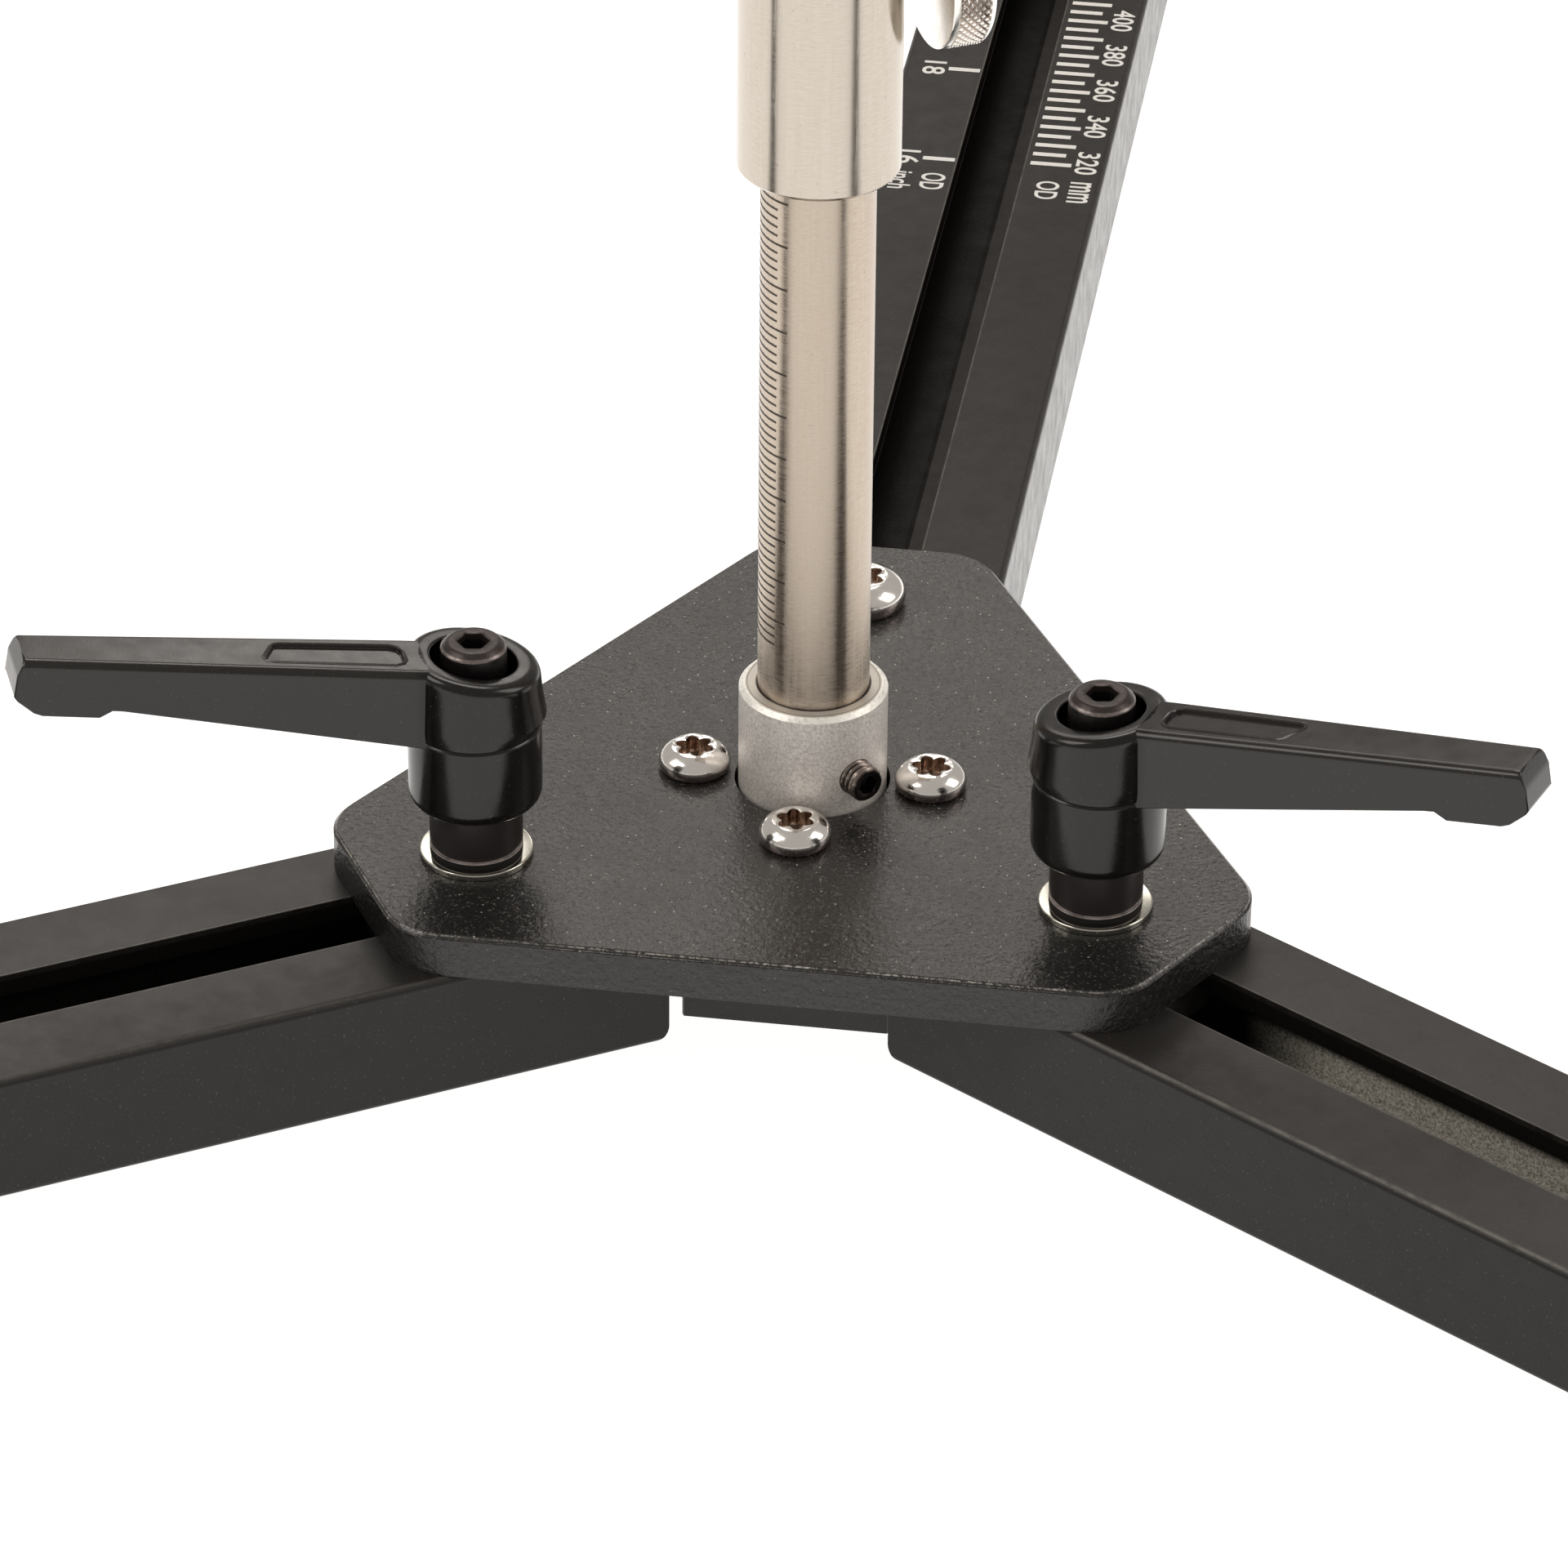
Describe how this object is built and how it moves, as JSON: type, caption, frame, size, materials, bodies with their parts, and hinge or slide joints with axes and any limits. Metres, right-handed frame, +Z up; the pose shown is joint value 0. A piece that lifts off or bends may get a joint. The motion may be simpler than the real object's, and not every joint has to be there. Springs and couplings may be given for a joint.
{
  "type": "bicycle wheel truing stand",
  "caption": "Horizontal wheel truing stand: slotted arms fold around a graduated post whose sleeve and bush carry the hub; sliding rim supports stand on the arms.",
  "frame": {"origin": "on the axis of the centre post, on the bench surface under the hub block", "axes": "+X to the right, +Y outwards along the fixed back arm, +Z up the post"},
  "size_m": [0.6015, 0.5473, 0.2046],
  "materials": {
    "plate_coat": "fine textured black powder coat",
    "arm_anodised": "black anodised extrusion",
    "block_anodised": "black anodised, satin",
    "collar_alloy": "blasted silver alloy",
    "post_steel": "ground stainless steel",
    "sleeve_alloy": "turned silver alloy",
    "knurled_steel": "nickel plated, diamond knurled",
    "bright_screw": "bright stainless steel",
    "black_screw": "blackened steel",
    "washer_steel": "zinc plated steel",
    "lever_plastic": "satin black moulding",
    "insert_steel": "blackened steel",
    "spring_steel": "spring wire",
    "foot_rubber": "black rubber",
    "cap_plastic": "black moulding",
    "nut_steel": "zinc plated steel",
    "support_alloy": "black anodised, satin",
    "rod_steel": "ground stainless steel",
    "jaw_nylon": "black nylon"
  },
  "bodies": {
    "stand": {"center_plate": "plate_coat", "hub_block": "block_anodised", "hub_foot_pad": "foot_rubber", "post_flange": "collar_alloy", "center_post": "post_steel", "plate_screw_1": "bright_screw", "plate_screw_2": "bright_screw", "plate_screw_3": "bright_screw", "plate_screw_4": "bright_screw", "flange_set_screw_1": "black_screw", "flange_set_screw_2": "black_screw", "back_arm": "arm_anodised", "back_arm_t_nut": "nut_steel", "back_arm_screw": "bright_screw", "back_end_cap": "cap_plastic", "back_foot": "foot_rubber", "back_foot_screw": "bright_screw", "left_washer": "washer_steel", "right_washer": "washer_steel"},
    "sleeve": {"hub_sleeve": "sleeve_alloy"},
    "sleeve_screw": {"sleeve_thumb_screw": "knurled_steel"},
    "bush": {"hub_bush": "sleeve_alloy"},
    "left_nut": {"left_t_nut": "nut_steel"},
    "left_arm": {"left_arm": "arm_anodised", "left_end_cap": "cap_plastic", "left_foot": "foot_rubber", "left_foot_screw": "bright_screw"},
    "left_stud": {"left_lever_stud": "insert_steel", "left_lever_screw": "black_screw", "left_lever_spring": "spring_steel"},
    "left_handle": {"left_lever_handle": "lever_plastic"},
    "right_nut": {"right_t_nut": "nut_steel"},
    "right_arm": {"right_arm": "arm_anodised", "right_end_cap": "cap_plastic", "right_foot": "foot_rubber", "right_foot_screw": "bright_screw"},
    "right_stud": {"right_lever_stud": "insert_steel", "right_lever_screw": "black_screw", "right_lever_spring": "spring_steel"},
    "right_handle": {"right_lever_handle": "lever_plastic"},
    "back_support": {"back_support_base": "support_alloy", "back_support_t_nut": "nut_steel"},
    "back_clamp": {"back_support_clamp_screw": "knurled_steel"},
    "back_rod": {"back_support_rod": "rod_steel", "back_support_jaw": "jaw_nylon"},
    "back_lock": {"back_support_lock_screw": "knurled_steel"},
    "left_support": {"left_support_base": "support_alloy", "left_support_t_nut": "nut_steel"},
    "left_clamp": {"left_support_clamp_screw": "knurled_steel"},
    "left_rod": {"left_support_rod": "rod_steel", "left_support_jaw": "jaw_nylon"},
    "left_lock": {"left_support_lock_screw": "knurled_steel"},
    "right_support": {"right_support_base": "support_alloy", "right_support_t_nut": "nut_steel"},
    "right_clamp": {"right_support_clamp_screw": "knurled_steel"},
    "right_rod": {"right_support_rod": "rod_steel", "right_support_jaw": "jaw_nylon"},
    "right_lock": {"right_support_lock_screw": "knurled_steel"}
  },
  "joints": [
    {"name": "sleeve_height", "type": "slide", "parent": "stand", "child": "sleeve", "axis": [0, 0, 1], "range_m": [-0.0618, 0.025]},
    {"name": "sleeve_screw_turn", "type": "hinge", "parent": "sleeve", "child": "sleeve_screw", "pos_m": [0.01011, 0.00549, 0.1187], "axis": [0.8788, 0.4772, 0], "range_deg": [-180, 180]},
    {"name": "bush_spin", "type": "hinge", "parent": "sleeve", "child": "bush", "pos_m": [0, 0, 0.1537], "axis": [0, 0, 1], "continuous": true},
    {"name": "left_arm_swing", "type": "hinge", "parent": "stand", "child": "left_nut", "pos_m": [-0.033, -0.0204, 0.0196], "axis": [0, 0, 1], "range_deg": [-122.1, 57.9]},
    {"name": "left_arm_slide", "type": "slide", "parent": "left_nut", "child": "left_arm", "axis": [-0.8471, -0.5314, 0], "range_m": [-0.0025, 0.006]},
    {"name": "left_lever_turn", "type": "hinge", "parent": "stand", "child": "left_stud", "pos_m": [-0.033, -0.0204, 0.0246], "axis": [0, 0, 1], "range_deg": [-90, 90]},
    {"name": "left_handle_lift", "type": "slide", "parent": "left_stud", "child": "left_handle", "axis": [0, 0, 1], "range_m": [0, 0.0035], "stiffness_N_per_m": 800, "springref_m": -0.003, "deforming": ["left_lever_spring"]},
    {"name": "right_arm_swing", "type": "hinge", "parent": "stand", "child": "right_nut", "pos_m": [0.033, -0.0204, 0.0196], "axis": [0, 0, 1], "range_deg": [-57.1, 122.9]},
    {"name": "right_arm_slide", "type": "slide", "parent": "right_nut", "child": "right_arm", "axis": [0.8396, -0.5432, 0], "range_m": [-0.0025, 0.006]},
    {"name": "right_lever_turn", "type": "hinge", "parent": "stand", "child": "right_stud", "pos_m": [0.033, -0.0204, 0.0246], "axis": [0, 0, 1], "range_deg": [-90, 90]},
    {"name": "right_handle_lift", "type": "slide", "parent": "right_stud", "child": "right_handle", "axis": [0, 0, 1], "range_m": [0, 0.0035], "stiffness_N_per_m": 800, "springref_m": -0.003, "deforming": ["right_lever_spring"]},
    {"name": "back_support_slide", "type": "slide", "parent": "stand", "child": "back_support", "axis": [0, 1, 0], "range_m": [-0.125, 0.033]},
    {"name": "back_clamp_turn", "type": "hinge", "parent": "back_support", "child": "back_clamp", "pos_m": [0, 0.304, 0.0316], "axis": [0, 0, 1], "range_deg": [-180, 180]},
    {"name": "back_rod_height", "type": "slide", "parent": "back_support", "child": "back_rod", "axis": [0, 0, 1], "range_m": [-0.0025, 0.018]},
    {"name": "back_lock_turn", "type": "hinge", "parent": "back_support", "child": "back_lock", "pos_m": [-0.01, 0.287, 0.0416], "axis": [-1, 0, 0], "range_deg": [-180, 180]},
    {"name": "left_support_slide", "type": "slide", "parent": "left_arm", "child": "left_support", "axis": [-0.8471, -0.5314, 0], "range_m": [-0.125, 0.033]},
    {"name": "left_clamp_turn", "type": "hinge", "parent": "left_support", "child": "left_clamp", "pos_m": [-0.25766, -0.16133, 0.0316], "axis": [0, 0, 1], "range_deg": [-180, 180]},
    {"name": "left_rod_height", "type": "slide", "parent": "left_support", "child": "left_rod", "axis": [0, 0, 1], "range_m": [-0.0025, 0.018]},
    {"name": "left_lock_turn", "type": "hinge", "parent": "left_support", "child": "left_lock", "pos_m": [-0.23794, -0.16077, 0.0416], "axis": [0.5314, -0.8471, 0], "range_deg": [-180, 180]},
    {"name": "right_support_slide", "type": "slide", "parent": "right_arm", "child": "right_support", "axis": [0.8396, -0.5432, 0], "range_m": [-0.125, 0.033]},
    {"name": "right_clamp_turn", "type": "hinge", "parent": "right_support", "child": "right_clamp", "pos_m": [0.25567, -0.16445, 0.0316], "axis": [0, 0, 1], "range_deg": [-180, 180]},
    {"name": "right_rod_height", "type": "slide", "parent": "right_support", "child": "right_rod", "axis": [0, 0, 1], "range_m": [-0.0025, 0.018]},
    {"name": "right_lock_turn", "type": "hinge", "parent": "right_support", "child": "right_lock", "pos_m": [0.23596, -0.16361, 0.0416], "axis": [-0.5432, -0.8396, 0], "range_deg": [-180, 180]}
  ]
}
